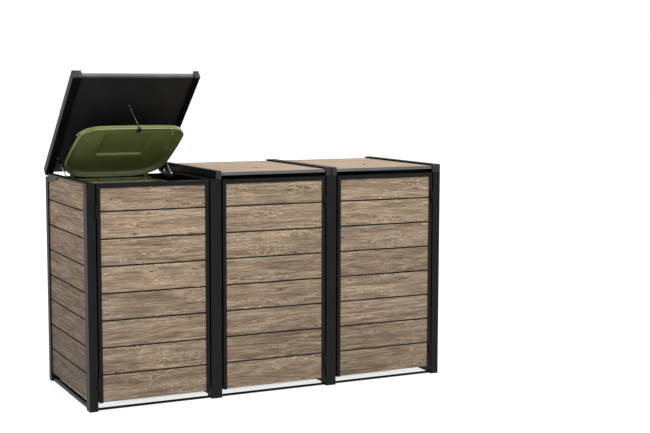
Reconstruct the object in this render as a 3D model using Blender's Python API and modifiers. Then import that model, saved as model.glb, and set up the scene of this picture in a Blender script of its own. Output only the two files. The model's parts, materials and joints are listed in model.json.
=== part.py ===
"""A wheelie-bin store for three bins, with one bin standing in its left bay.

Lengths are metres. Everything is laid out from the store's front left bottom
corner: X runs right along the front, Y runs back and Z runs up, with every
door and lid shut. Moving pieces hang from empties on their joint axes, and
the empties then take the left lid, its struts and the bin's lid to rest.
"""

import math

import bmesh
import bpy
from mathutils import Matrix, Vector

# Driving dimensions of the store.
WIDTH = 2.05
DEPTH = 0.81
POST_TOP = 1.16
END_POST = 0.045
MID_POST = 0.0595
POST_DEPTH = 0.06
REAR_POST_DEPTH = 0.045
REAR_POST_TOP = 1.143
LEAST_GAP = 0.0005
RAIL_INSET = 0.002

# Bars and the rear rail, each from front to back and from bottom to top.
FRONT_BAR = (0.022, 0.052, 0.001, 0.007)
REAR_BAR = (0.775, 0.797, 0.001, 0.023)
REAR_RAIL = (0.775, 0.797, 1.113, REAR_POST_TOP - LEAST_GAP)
SIDE_BAR_HALF = 0.011

# Top rails and the strut blocks at their rear ends.
TRIM_BOTTOM = 1.154
BLOCK_FRONT = 0.567
BLOCK_BOTTOM_FRONT = 1.139
BLOCK_BOTTOM_REAR = 1.116

# Boards.
BOARDS = 8
BOARD_PITCH = 0.1386
BOARD_BOTTOM = 0.047
GROOVE = 0.004
GROOVE_DEPTH = 0.003
PANEL_THICKNESS = 0.018
SIDE_PANEL_IN = 0.008
REAR_PANEL_FRONT = 0.777

# Doors.
DOOR_BOTTOM = 0.042
DOOR_TOP = 1.158
DOOR_DEPTH = 0.030
STILE = 0.0185
DOOR_TOP_RAIL = 0.023
DOOR_FOOT_RAIL = 0.024
DOOR_FOOT_RAIL_DEPTH = 0.012
DOOR_PANEL_SPAN = (0.004, 0.016)
HINGE_GAP = 0.008
LATCH_GAP = 0.010
HINGE_RADIUS = 0.0055
HINGE_OUT = 0.0065
HINGE_HEIGHT = 0.070
HINGE_BOTTOMS = (0.105, 0.985)
HINGE_LEAF_END = 0.026

# Lids.
LID_BOTTOM = 1.1605
LID_TOP = 1.205
LID_PIVOT = Vector((0.0, 0.803, 1.154))
LID_REAR = 0.818
LID_PANEL_BOTTOM = 1.177
LID_PANEL_SPAN = (0.0265, 0.8005)
LID_STRIPS = (("front", 0.012, 0.026), ("rear", 0.801, 0.815))
LID_STRIP_TOP = 1.200
LID_STRIP_LAP = 0.004
OUTER_RAIL = 0.045
INNER_RAIL = 0.025
LID_OPEN = math.radians(41.2)
KNUCKLE_RADIUS = 0.006
KNUCKLE_GAP = 0.005
KNUCKLE_HALF = 0.0045
EYE_PLATES = (0.0055, 0.0085)
EYE_HALF = 0.006
EYE_DROP = 0.009

# Gas struts, one each side of a lid.
STRUT_IN = 0.0085
STRUT_LOW = Vector((0.0, 0.580, 1.155))
STRUT_ALONG_LID = 0.125
STRUT_ABOVE_PIVOT = 0.012
STUD_RADIUS = 0.004
CYLINDER_RADIUS = 0.0055
ROD_RADIUS = 0.003
BORE_RADIUS = 0.0034
STRUT_MOUTH = 0.0175
STRUT_END_RADIUS = 0.0065
STRUT_END_HALF = 0.0045
ROD_LEFT_IN = 0.006

# The bin in the left bay: half width, front and rear of its body at foot and rim.
BIN_ASIDE = -0.006
BIN_FOOT = (0.2225, 0.235, 0.620)
BIN_HEAD = (0.2670, 0.187, 0.716)
BIN_FOOT_Z = 0.001
BIN_RIM = 1.1165
BIN_WALL = 0.005
RIM_OUT = 0.012
RIM_DROP = 0.030
HANDLE_RADIUS = 0.012
RIBS = (-0.190, -0.0665, 0.0665, 0.190)
RIB_HALF = 0.004
HANDLE_REACH = RIBS[-1] + 0.006
ARM_OUT = HANDLE_REACH + 0.034
ARM_WIDTH = 0.010
AXLE_LUG_AT = 0.190
AXLE_LUG = (0.015, 0.018, 0.025)

# The bin's lid, from its hinge: near and far edges, then half width, near and far of
# its raised middle. Heights are above the lid's lower edge.
BIN_LID_PIVOT = Vector((0.0, 0.762, 1.118))
BIN_LID_OPEN = math.radians(29.5)
BIN_LID_EDGE = 0.0075
BIN_LID_HALF = 0.287
LID_NEAR = 0.0238
LID_FAR = 0.5951
LID_CORNERS = (0.104, 0.140)
CROWN = (0.135, 0.230, 0.496)
FLANGE = 0.019
RING_TOP = 0.021
CROWN_TOP = 0.038
LID_WALL = 0.003
LID_LUG_AT = HANDLE_REACH + 0.0165
LID_LUG_HALF = 0.012

# The bin's wheels.
WHEEL_RADIUS = 0.100
WHEEL_HALF = 0.0225
WHEEL_AT = 0.258
AXLE_RADIUS = 0.010
AXLE = Vector((0.0, 0.648, WHEEL_RADIUS + LEAST_GAP))

# The link that lifts the bin's lid with the store's.
LINK_ALONG_LID = 0.562
LINK_BELOW = 0.0045
LINK_ASIDE = 0.006
LINK_RADIUS = 0.0025
BIN_LID_LINK_AT = Vector((0.0, -0.602, BIN_LID_EDGE + 0.0135))

BAY = (WIDTH - 2 * END_POST - 2 * MID_POST) / 3
POST_SPANS = {
    "left": (0.0, END_POST),
    "mid_left": (END_POST + BAY, END_POST + BAY + MID_POST),
    "mid_right": (END_POST + 2 * BAY + MID_POST, END_POST + 2 * BAY + 2 * MID_POST),
    "right": (WIDTH - END_POST, WIDTH),
}
POST_NAMES = list(POST_SPANS)
BAY_SPANS = [
    (POST_SPANS[a][1], POST_SPANS[b][0])
    for a, b in zip(POST_NAMES, POST_NAMES[1:])
]
LINK_X = sum(BAY_SPANS[0]) / 2
BIN_X = LINK_X + BIN_ASIDE


def turned(offset, angle):
    """An offset from a lid's pivot once the lid has opened by this angle."""
    return Matrix.Rotation(-angle, 3, "X") @ offset


# The finished object stands centred on the origin at rest, left lid open.
FRONT_Y = -HINGE_OUT - HINGE_RADIUS + LEAST_GAP
REAR_Y = LID_PIVOT.y + turned(
    Vector((0, LID_REAR - LID_PIVOT.y, LID_TOP - LID_PIVOT.z)), LID_OPEN
).y
CENTRE = Vector((WIDTH / 2, (FRONT_Y + REAR_Y) / 2, 0.0))

for old in list(bpy.data.objects):
    bpy.data.objects.remove(old, do_unlink=True)

parts = bpy.data.collections.new("wheelie_bin_store")
cutters = bpy.data.collections.new("cutters")
bpy.context.scene.collection.children.link(parts)
bpy.context.scene.collection.children.link(cutters)
cutters.hide_render = True


def material(name, colour, roughness, metallic=0.0):
    made = bpy.data.materials.new(name)
    made.use_nodes = True
    shader = made.node_tree.nodes["Principled BSDF"]
    shader.inputs["Base Color"].default_value = (*colour, 1.0)
    shader.inputs["Roughness"].default_value = roughness
    shader.inputs["Metallic"].default_value = metallic
    made.diffuse_color = (*colour, 1.0)
    return made


BLACK_METAL = material("black_powder_coat", (0.018, 0.019, 0.020), 0.45)
WOOD = material("grey_oak_boards", (0.33, 0.23, 0.165), 0.6)
SIDE_WOOD = material("side_boards", (0.30, 0.21, 0.15), 0.6)
GREEN = material("green_bin_plastic", (0.10, 0.13, 0.04), 0.45)
STEEL = material("polished_steel", (0.62, 0.63, 0.64), 0.25, 1.0)
STRUT_BLACK = material("strut_enamel", (0.012, 0.012, 0.013), 0.3)
LINK_STEEL = material("link_wire", (0.30, 0.31, 0.31), 0.4, 1.0)
WHEEL_RUBBER = material("wheel_rubber", (0.02, 0.02, 0.02), 0.75)


def empty(name, parent, pivot, angle=0.0):
    """An empty on a joint's axis. Its children are placed in the shut store's frame."""
    made = bpy.data.objects.new(name, None)
    parts.objects.link(made)
    made.empty_display_size = 0.05
    made.parent = parent
    made["pivot"] = pivot[:]
    made.location = pivot - Vector(parent["pivot"]) if parent else -pivot
    made.rotation_euler.x = angle
    return made


def place(mesh, name, centre, parent, look):
    """Adds a mesh as a part, or as a cutter where it has no look."""
    made = bpy.data.objects.new(name, mesh)
    made.parent = parent
    made.location = Vector(centre) - Vector(parent["pivot"])
    if look:
        parts.objects.link(made)
        mesh.materials.append(look)
    else:
        cutters.objects.link(made)
        made.hide_render = True
        made.display_type = "WIRE"
    return made


def mesh_from(bm, name):
    mesh = bpy.data.meshes.new(name)
    bmesh.ops.recalc_face_normals(bm, faces=bm.faces)
    bm.to_mesh(mesh)
    bm.free()
    return mesh


def box(name, low, high, parent, look=None):
    low, high = Vector(low), Vector(high)
    bm = bmesh.new()
    bmesh.ops.create_cube(bm, size=1.0)
    bmesh.ops.scale(bm, vec=high - low, verts=bm.verts)
    return place(mesh_from(bm, name), name, (low + high) / 2, parent, look)


def rod(name, start, end, radius, parent, look=None, sides=20):
    """A cylinder between two points."""
    start, end = Vector(start), Vector(end)
    along = end - start
    bm = bmesh.new()
    bmesh.ops.create_cone(
        bm,
        cap_ends=True,
        segments=sides,
        radius1=radius,
        radius2=radius,
        depth=along.length,
    )
    turn = along.to_track_quat("Z", "Y").to_matrix()
    bmesh.ops.rotate(bm, cent=(0, 0, 0), matrix=turn, verts=bm.verts)
    made = place(mesh_from(bm, name), name, (start + end) / 2, parent, look)
    made.data.shade_smooth()
    made.data.set_sharp_from_angle(angle=math.radians(40))
    return made


def ball(name, centre, radius, parent, look=None):
    bm = bmesh.new()
    bmesh.ops.create_uvsphere(bm, u_segments=16, v_segments=10, radius=radius)
    return place(mesh_from(bm, name), name, centre, parent, look)


def combine(target, operation, others):
    for other in others:
        change = target.modifiers.new(other.name, "BOOLEAN")
        change.operation = operation
        change.solver = "EXACT"
        change.object = other
    return target


def join(target, *others):
    return combine(target, "UNION", others)


def cut(target, *others):
    return combine(target, "DIFFERENCE", others)


def grooves(name, low, high, axis, seams, face, parent):
    """Thin cutters for the joints between boards, on the side of a panel that face names."""
    made = []
    for index, seam in enumerate(seams):
        start, end = Vector(low), Vector(high)
        start -= Vector((0.01, 0.01, 0.01))
        end += Vector((0.01, 0.01, 0.01))
        start[axis], end[axis] = seam - GROOVE / 2, seam + GROOVE / 2
        side, outward = face
        if outward > 0:
            start[side] = high[side] - GROOVE_DEPTH
        else:
            end[side] = low[side] + GROOVE_DEPTH
        made.append(box(f"{name}_groove_{index}", start, end, parent))
    return made


def board_seams():
    return [BOARD_BOTTOM + BOARD_PITCH * k for k in range(1, BOARDS)]


def make_posts(root):
    """Eight posts. The inner ones are notched for the bars and the rear rail that pass them."""
    for name, (left, right) in POST_SPANS.items():
        front = box(
            f"front_post_{name}",
            (left, 0, 0),
            (right, POST_DEPTH, POST_TOP),
            root,
            BLACK_METAL,
        )
        rear = box(
            f"rear_post_{name}",
            (left, DEPTH - REAR_POST_DEPTH, 0),
            (right, DEPTH, REAR_POST_TOP),
            root,
            BLACK_METAL,
        )
        for index, x in enumerate(hinge_places(name)):
            web = box(
                f"rear_post_{name}_web_{index}",
                (x - KNUCKLE_HALF + LEAST_GAP, LID_PIVOT.y - 0.002, REAR_POST_TOP - 0.004),
                (x + KNUCKLE_HALF - LEAST_GAP, DEPTH - LEAST_GAP, LID_PIVOT.z + 0.0015),
                root,
            )
            knuckle = rod(
                f"rear_post_{name}_knuckle_{index}",
                (x - KNUCKLE_HALF, LID_PIVOT.y, LID_PIVOT.z),
                (x + KNUCKLE_HALF, LID_PIVOT.y, LID_PIVOT.z),
                KNUCKLE_RADIUS,
                root,
            )
            join(rear, web, knuckle)
        if name.startswith("mid"):
            cut(front, notch(f"front_post_{name}_foot", left, right, FRONT_BAR, root))
            cut(
                rear,
                notch(f"rear_post_{name}_foot", left, right, REAR_BAR, root),
                notch(f"rear_post_{name}_head", left, right, REAR_RAIL, root),
            )


def notch(name, left, right, bar, root):
    """A cutter a little larger than a bar, open to the nearer end of the post."""
    front, back, low, high = bar
    at_foot = low < POST_TOP / 2
    return box(
        name,
        (left - 0.01, front - LEAST_GAP, -0.01 if at_foot else low - LEAST_GAP),
        (right + 0.01, back + LEAST_GAP, high + (LEAST_GAP if at_foot else 0.003)),
        root,
    )


def hinge_places(post):
    """X of the fixed knuckle under each lid rail that this post carries."""
    return [
        (left + right) / 2
        for lid in range(3)
        for index, (left, right) in enumerate(rail_spans(lid))
        if POST_NAMES[lid + index] == post
    ]


def rail_spans(lid):
    """Left and right X of a lid's two rails."""
    left, right = BAY_SPANS[lid]
    inner_left, inner_right = left - RAIL_INSET, right + RAIL_INSET
    first = (0.0, OUTER_RAIL) if lid == 0 else (inner_left - INNER_RAIL, inner_left)
    last = (WIDTH - OUTER_RAIL, WIDTH) if lid == 2 else (inner_right, inner_right + INNER_RAIL)
    return first, last


def make_bars(root):
    """The bars on the ground and the rail behind the lids."""
    across = END_POST + LEAST_GAP, WIDTH - END_POST - LEAST_GAP
    for name, (front, back, low, high) in (
        ("base_bar_front", FRONT_BAR),
        ("base_bar_rear", REAR_BAR),
        ("top_rail_rear", REAR_RAIL),
    ):
        box(name, (across[0], front, low), (across[1], back, high), root, BLACK_METAL)
    for name, (left, right) in POST_SPANS.items():
        centre = (left + right) / 2
        box(
            f"base_bar_{name}",
            (centre - SIDE_BAR_HALF, POST_DEPTH + LEAST_GAP, REAR_BAR[2]),
            (centre + SIDE_BAR_HALF, DEPTH - REAR_POST_DEPTH - LEAST_GAP, REAR_BAR[3]),
            root,
            BLACK_METAL,
        )


def strut_block(name, left, right, back, top, grow, root):
    """A block that deepens toward the rear, grown forward and down."""
    side = [
        (BLOCK_FRONT - grow, BLOCK_BOTTOM_FRONT - grow),
        (back, BLOCK_BOTTOM_REAR - grow),
        (back, top),
        (BLOCK_FRONT - grow, top),
    ]
    rings = [[(x, y, z) for y, z in side] for x in (left, right)]
    return loft(name, rings, (0, 0, 0), root, None)


def make_top_rails(root):
    """Rails from front to rear post, each with a strut block at its rear end."""
    front, back = POST_DEPTH + LEAST_GAP, DEPTH - REAR_POST_DEPTH - LEAST_GAP
    for index, (name, (left, right)) in enumerate(POST_SPANS.items()):
        low_x, high_x = left + RAIL_INSET, right - RAIL_INSET
        rail = box(
            f"top_rail_{name}",
            (low_x, front, TRIM_BOTTOM),
            (high_x, back, POST_TOP),
            root,
            BLACK_METAL,
        )
        join(
            rail,
            strut_block(f"top_rail_{name}_block", low_x, high_x, back, POST_TOP - 0.001, 0.0, root),
        )
        for bay, toward in ((index, 1), (index - 1, -1)):
            if 0 <= bay < 3:
                end = strut_places(bay)[0 if toward > 0 else 1] - toward * (CYLINDER_RADIUS + LEAST_GAP)
                start = high_x - 0.006 if toward > 0 else low_x + 0.006
                join(
                    rail,
                    rod(
                        f"top_rail_{name}_stud_{bay}",
                        (start, STRUT_LOW.y, STRUT_LOW.z),
                        (end, STRUT_LOW.y, STRUT_LOW.z),
                        STUD_RADIUS,
                        root,
                        sides=16,
                    ),
                )


def strut_places(lid):
    """X of the struts at the left and right of a lid."""
    (_, left), (right, _) = rail_spans(lid)
    return left + STRUT_IN, right - STRUT_IN


def make_walls(root):
    """Side walls of grooved boards, notched for the strut blocks, and plain rear walls."""
    top = TRIM_BOTTOM - LEAST_GAP
    for name, outward in (("left", -1), ("right", 1)):
        left, right = POST_SPANS[name]
        outer = left + SIDE_PANEL_IN if outward < 0 else right - SIDE_PANEL_IN
        low = (min(outer, outer - outward * PANEL_THICKNESS), POST_DEPTH + LEAST_GAP, BOARD_BOTTOM)
        high = (
            max(outer, outer - outward * PANEL_THICKNESS),
            DEPTH - REAR_POST_DEPTH - LEAST_GAP,
            top,
        )
        wall = box(f"side_panel_{name}", low, high, root, SIDE_WOOD)
        corner = strut_block(
            f"side_panel_{name}_corner", low[0] - 0.01, high[0] + 0.01, high[1], top + 0.01, LEAST_GAP, root
        )
        cut(wall, corner)
        cut(wall, *grooves(wall.name, low, high, 2, board_seams(), (0, outward), root))
    for bay, (left, right) in enumerate(BAY_SPANS):
        box(
            f"rear_panel_{bay + 1}",
            (left + LEAST_GAP, REAR_PANEL_FRONT, BOARD_BOTTOM),
            (right - LEAST_GAP, REAR_PANEL_FRONT + PANEL_THICKNESS, REAR_RAIL[2] - LEAST_GAP),
            root,
            SIDE_WOOD,
        )


def make_door(bay, root):
    """A framed door of eight boards, on two lift-off hinges."""
    left, right = BAY_SPANS[bay]
    hinge_left = bay == 0
    outer_left = left + (HINGE_GAP if hinge_left else LATCH_GAP)
    outer_right = right - (LATCH_GAP if hinge_left else HINGE_GAP)
    side = 1 if hinge_left else -1
    post_face = left if hinge_left else right
    hinge_x = post_face + side * HINGE_GAP / 2
    pivot = empty(f"door_{bay + 1}_axis", root, Vector((hinge_x, LEAST_GAP - HINGE_OUT, 0)))
    frame = box(
        f"door_frame_{bay + 1}",
        (outer_left, LEAST_GAP, DOOR_BOTTOM),
        (outer_right, DOOR_DEPTH + LEAST_GAP, DOOR_TOP),
        pivot,
        BLACK_METAL,
    )
    foot_rail_top = BOARD_BOTTOM + DOOR_FOOT_RAIL
    sight = box(
        f"{frame.name}_sight",
        (outer_left + STILE, -0.01, foot_rail_top),
        (outer_right - STILE, DOOR_DEPTH + 0.01, DOOR_TOP - DOOR_TOP_RAIL),
        pivot,
    )
    rebate = box(
        f"{frame.name}_rebate",
        (outer_left + STILE, -0.01, DOOR_BOTTOM - 0.01),
        (outer_right - STILE, DOOR_DEPTH - DOOR_FOOT_RAIL_DEPTH, foot_rail_top + 0.001),
        pivot,
    )
    cut(frame, sight, rebate)
    front, back = DOOR_PANEL_SPAN
    low = (outer_left + STILE + LEAST_GAP, front, BOARD_BOTTOM)
    high = (outer_right - STILE - LEAST_GAP, back, DOOR_TOP - DOOR_TOP_RAIL - LEAST_GAP)
    panel = box(f"door_panel_{bay + 1}", low, high, pivot, WOOD)
    cut(panel, *grooves(panel.name, low, high, 2, board_seams(), (1, -1), pivot))
    for level, bottom in zip(("lower", "upper"), HINGE_BOTTOMS):
        middle = bottom + HINGE_HEIGHT / 2
        axis_y = LEAST_GAP - HINGE_OUT
        fixed = rod(
            f"door_hinge_{bay + 1}_{level}",
            (hinge_x, axis_y, bottom),
            (hinge_x, axis_y, middle - LEAST_GAP),
            HINGE_RADIUS,
            root,
            BLACK_METAL,
        )
        near, far = sorted((post_face + side * 0.0003, post_face + side * 0.0018))
        join(
            fixed,
            box(
                f"{fixed.name}_leaf",
                (near, axis_y, bottom + 0.0005),
                (far, HINGE_LEAF_END, middle - LEAST_GAP - 0.0005),
                root,
            ),
        )
        moving = rod(
            f"{frame.name}_barrel_{level}",
            (hinge_x, axis_y, middle + LEAST_GAP),
            (hinge_x, axis_y, bottom + HINGE_HEIGHT),
            HINGE_RADIUS,
            pivot,
        )
        near, far = sorted((hinge_x, hinge_x + side * (HINGE_GAP / 2 + 0.012)))
        web = box(
            f"{frame.name}_web_{level}",
            (near, axis_y - 0.001, middle + LEAST_GAP + 0.0005),
            (far, 0.003, bottom + HINGE_HEIGHT - 0.0005),
            pivot,
        )
        join(frame, moving, web)


def make_lid(lid, angle, root):
    """A ring of two rails and two strips around a boarded panel, hinged at the rear."""
    (left, inner_left), (inner_right, right) = rail_spans(lid)
    pivot = empty(f"lid_{lid + 1}_axis", root, LID_PIVOT, -angle)
    frame = box(
        f"lid_frame_{lid + 1}",
        (left, 0, LID_BOTTOM),
        (inner_left, LID_REAR, LID_TOP),
        pivot,
        BLACK_METAL,
    )
    pieces = [
        box(f"{frame.name}_rail", (inner_right, 0, LID_BOTTOM), (right, LID_REAR, LID_TOP), pivot),
    ]
    for end, front, back in LID_STRIPS:
        pieces.append(
            box(
                f"{frame.name}_{end}",
                (inner_left - LID_STRIP_LAP, front, LID_PANEL_BOTTOM),
                (inner_right + LID_STRIP_LAP, back, LID_STRIP_TOP),
                pivot,
            )
        )
    for index, (rail_left, rail_right) in enumerate(rail_spans(lid)):
        centre = (rail_left + rail_right) / 2
        ends = ((centre - KNUCKLE_GAP, rail_left + 0.001), (centre + KNUCKLE_GAP, rail_right - 0.001))
        for end, outer in ends:
            near, far = sorted((end, outer))
            name = f"{frame.name}_knuckle_{index}_{'left' if outer < end else 'right'}"
            pieces.append(
                rod(
                    name,
                    (near, LID_PIVOT.y, LID_PIVOT.z),
                    (far, LID_PIVOT.y, LID_PIVOT.z),
                    KNUCKLE_RADIUS,
                    pivot,
                )
            )
            pieces.append(
                box(
                    f"{name}_web",
                    (near + 0.0005, LID_PIVOT.y - 0.0055, LID_PIVOT.z - 0.0015),
                    (far - 0.0005, LID_PIVOT.y + 0.0055, LID_BOTTOM + 0.004),
                    pivot,
                )
            )
    stud_y = LID_PIVOT.y - STRUT_ALONG_LID
    stud_z = LID_PIVOT.z + STRUT_ABOVE_PIVOT
    for x, rail_face, inward in (
        (strut_places(lid)[0], inner_left, 1),
        (strut_places(lid)[1], inner_right, -1),
    ):
        pieces.append(
            rod(
                f"{frame.name}_stud_{'left' if inward > 0 else 'right'}",
                (rail_face - inward * 0.006, stud_y, stud_z),
                (x - inward * (CYLINDER_RADIUS + LEAST_GAP), stud_y, stud_z),
                STUD_RADIUS,
                pivot,
                sides=16,
            )
        )
    join(frame, *pieces)
    front, back = LID_PANEL_SPAN
    low = (inner_left + LEAST_GAP, front, LID_PANEL_BOTTOM)
    high = (inner_right - LEAST_GAP, back, LID_PANEL_BOTTOM + PANEL_THICKNESS)
    panel = box(f"lid_panel_{lid + 1}", low, high, pivot, WOOD)
    seams = [low[1] + (high[1] - low[1]) * part / 3 for part in (1, 2)]
    cut(panel, *grooves(panel.name, low, high, 1, seams, (2, 1), pivot))
    centre = (inner_left + inner_right) / 2
    eye_y = LID_PIVOT.y - LINK_ALONG_LID
    for inward in (-1, 1):
        near, far = sorted(centre + inward * distance for distance in EYE_PLATES)
        ear = box(
            f"{panel.name}_ear_{'left' if inward < 0 else 'right'}",
            (near, eye_y - EYE_HALF, LID_PANEL_BOTTOM - EYE_DROP),
            (far, eye_y + EYE_HALF, LID_PANEL_BOTTOM + 0.004),
            pivot,
        )
        join(panel, ear)
    for x, hand in zip(strut_places(lid), ("left", "right")):
        make_strut(f"{lid + 1}_{hand}", x, angle, root)
    return pivot


def strut_at(angle):
    """The strut's slope and its length between studs, with the lid open by this angle."""
    stud = Vector((0, -STRUT_ALONG_LID, STRUT_ABOVE_PIVOT))
    reach = LID_PIVOT + turned(stud, angle) - STRUT_LOW
    return math.atan2(reach.z, reach.y), reach.length


def make_strut(name, x, angle, root):
    """A rod on the fixed stud, and the cylinder that slides on it, both laid along local +Y."""
    slope, length = strut_at(angle)
    _, shut = strut_at(0.0)
    low = STRUT_LOW + Vector((x, 0, 0))
    axis = empty(f"strut_{name}_axis", root, low, slope)
    slide = empty(f"strut_{name}_slide", axis, low)
    slide.location.y = length - shut

    def along(distance):
        return low + Vector((0, distance, 0))

    stroke = strut_at(LID_OPEN)[1] - shut
    tip = STRUT_MOUTH + stroke + ROD_LEFT_IN
    piston = rod(f"strut_rod_{name}", along(0.002), along(tip), ROD_RADIUS, axis, STEEL, 16)
    side = Vector((STRUT_END_HALF, 0, 0))
    join(piston, rod(f"{piston.name}_end", low - side, low + side, STRUT_END_RADIUS, axis))
    tube = rod(
        f"strut_cylinder_{name}",
        along(STRUT_MOUTH),
        along(shut - 0.003),
        CYLINDER_RADIUS,
        slide,
        STRUT_BLACK,
    )
    join(tube, rod(f"{tube.name}_end", along(shut) - side, along(shut) + side, STRUT_END_RADIUS, slide))
    cut(tube, rod(f"{tube.name}_bore", along(0.0), along(tip + 0.0005), BORE_RADIUS, slide, sides=16))


def rounded(half, front, back, front_radius, back_radius, z, steps=6):
    """A rounded rectangle's points at one height, in order round it."""
    points = []
    for quarter in range(4):
        sign_x = 1 if quarter in (0, 3) else -1
        sign_y = 1 if quarter < 2 else -1
        radius = back_radius if sign_y > 0 else front_radius
        corner_y = (back if sign_y > 0 else front) - sign_y * radius
        for step in range(steps + 1):
            angle = math.pi / 2 * (quarter + step / steps)
            points.append(
                (
                    sign_x * (half - radius) + radius * math.cos(angle),
                    corner_y + radius * math.sin(angle),
                    z,
                )
            )
    return points


def loft(name, rings, centre, parent, look):
    """A closed skin through rings of equal length, with a flat face at each end."""
    bm = bmesh.new()
    laid = [[bm.verts.new(point) for point in ring] for ring in rings]
    for lower, upper in zip(laid, laid[1:]):
        for index, vert in enumerate(lower):
            after = (index + 1) % len(lower)
            bm.faces.new((vert, lower[after], upper[after], upper[index]))
    bm.faces.new(list(reversed(laid[0])))
    bm.faces.new(laid[-1])
    made = place(mesh_from(bm, name), name, centre, parent, look)
    made.data.shade_smooth()
    made.data.set_sharp_from_angle(angle=math.radians(35))
    return made


def bin_ring(z, grow, radius):
    """The bin's outline at one height, moved out by grow."""
    part = (z - BIN_FOOT_Z) / (BIN_RIM - BIN_FOOT_Z)
    half, front, back = (a + (b - a) * part for a, b in zip(BIN_FOOT, BIN_HEAD))
    return rounded(half + grow, front - grow, back + grow, radius + grow, radius + grow, z)


def make_bin_body(root):
    """A tapered tub with a rim, a rear handle on ribs, and lugs for its axle."""
    rings = [
        bin_ring(BIN_FOOT_Z, 0.0, 0.045),
        bin_ring(BIN_RIM - RIM_DROP, 0.0, 0.06),
        bin_ring(BIN_RIM - RIM_DROP, RIM_OUT, 0.06),
        bin_ring(BIN_RIM, RIM_OUT, 0.06),
        bin_ring(BIN_RIM, -BIN_WALL, 0.06),
        bin_ring(BIN_FOOT_Z + BIN_WALL, -BIN_WALL, 0.045),
    ]
    body = loft("bin_body", rings, (BIN_X, 0, 0), root, GREEN)
    back = BIN_HEAD[2]
    y, z = BIN_LID_PIVOT.y, BIN_LID_PIVOT.z
    ends = [(BIN_X + side * HANDLE_REACH, y, z) for side in (-1, 1)]
    extras = [rod("bin_handle", *ends, HANDLE_RADIUS, root)]
    for index, x in enumerate(RIBS):
        extras.append(
            box(
                f"bin_rib_{index}",
                (BIN_X + x - RIB_HALF, back - 0.001, z - 0.026),
                (BIN_X + x + RIB_HALF, y, z + 0.006),
                root,
            )
        )
    for inward in (-1, 1):
        outer = BIN_X + inward * ARM_OUT
        hand = "left" if inward < 0 else "right"
        near, far = sorted((outer, outer + inward * ARM_WIDTH))
        extras.append(
            rod(f"bin_knuckle_{hand}", (near, y, z), (far, y, z), HANDLE_RADIUS, root)
        )
        extras.append(
            box(
                f"bin_arm_{hand}",
                (near + 0.0005, back - 0.012, z - 0.024),
                (far - 0.0005, y, z + 0.004),
                root,
            )
        )
    lugs = []
    bores = []
    half, behind, tall = AXLE_LUG
    for inward in (-1, 1):
        x = BIN_X + inward * AXLE_LUG_AT
        hand = "left" if inward < 0 else "right"
        lugs.append(
            box(
                f"bin_lug_{hand}",
                (x - half, BIN_FOOT[2] - 0.001, AXLE.z - tall),
                (x + half, AXLE.y + behind, AXLE.z + tall),
                root,
            )
        )
        bores.append(
            rod(
                f"bin_bore_{hand}",
                (x - half - 0.005, AXLE.y, AXLE.z),
                (x + half + 0.005, AXLE.y, AXLE.z),
                AXLE_RADIUS + LEAST_GAP,
                root,
            )
        )
    join(body, *extras, *lugs)
    cut(body, *bores)


def make_bin_lid(root):
    """A shallow shell with a raised middle, two hinge lugs, corner grips and the link's clip."""
    pivot = empty("bin_lid_axis", root, BIN_LID_PIVOT + Vector((BIN_X, 0, 0)), -BIN_LID_OPEN)

    def edge(inset, height):
        corners = [radius - inset for radius in LID_CORNERS]
        span = BIN_LID_HALF - inset, -LID_FAR + inset, -LID_NEAR - inset
        return rounded(*span, *corners, BIN_LID_EDGE + height)

    def crown(grow, height):
        half, near, far = CROWN
        corner = 0.02 + grow
        span = half + grow, -far - grow, -near + grow
        return rounded(*span, corner, corner, BIN_LID_EDGE + height)

    rings = [
        crown(-LID_WALL, CROWN_TOP - LID_WALL),
        crown(0.003 - LID_WALL, RING_TOP - LID_WALL),
        edge(0.012 + LID_WALL, RING_TOP - LID_WALL - 0.001),
        edge(0.004 + LID_WALL, 0.010),
        edge(LID_WALL, 0.0),
        edge(0.0, 0.0),
        edge(0.003, FLANGE),
        edge(0.010, RING_TOP),
        crown(0.003, RING_TOP),
        crown(-0.003, CROWN_TOP),
    ]
    lid = loft("bin_lid", rings, pivot["pivot"], pivot, GREEN)
    centre = Vector(pivot["pivot"])
    extras = []
    for inward in (-1, 1):
        x = centre.x + inward * LID_LUG_AT
        hand = "left" if inward < 0 else "right"
        extras.append(
            rod(
                f"bin_lid_knuckle_{hand}",
                (x - LID_LUG_HALF, centre.y, centre.z),
                (x + LID_LUG_HALF, centre.y, centre.z),
                HANDLE_RADIUS,
                pivot,
            )
        )
        extras.append(
            box(
                f"bin_lid_lug_{hand}",
                (x - LID_LUG_HALF, centre.y - LID_NEAR - 0.012, centre.z + BIN_LID_EDGE - 0.004),
                (x + LID_LUG_HALF, centre.y, centre.z + BIN_LID_EDGE + FLANGE - 0.004),
                pivot,
            )
        )
        grip_x = centre.x + inward * (BIN_LID_HALF - 0.030)
        extras.append(
            rod(
                f"bin_lid_grip_{hand}",
                (grip_x, centre.y - LID_FAR + 0.115, centre.z + BIN_LID_EDGE + 0.012),
                (grip_x - inward * 0.055, centre.y - LID_FAR + 0.030, centre.z + BIN_LID_EDGE + 0.012),
                0.006,
                pivot,
                sides=12,
            )
        )
    extras.append(
        box(
            "bin_lid_clip",
            (LINK_X + LINK_ASIDE - 0.013, centre.y - LID_FAR - 0.011, centre.z + BIN_LID_EDGE - 0.010),
            (LINK_X + LINK_ASIDE + 0.013, centre.y - LID_FAR + 0.002, centre.z + BIN_LID_EDGE + 0.008),
            pivot,
        )
    )
    join(lid, *extras)


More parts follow.
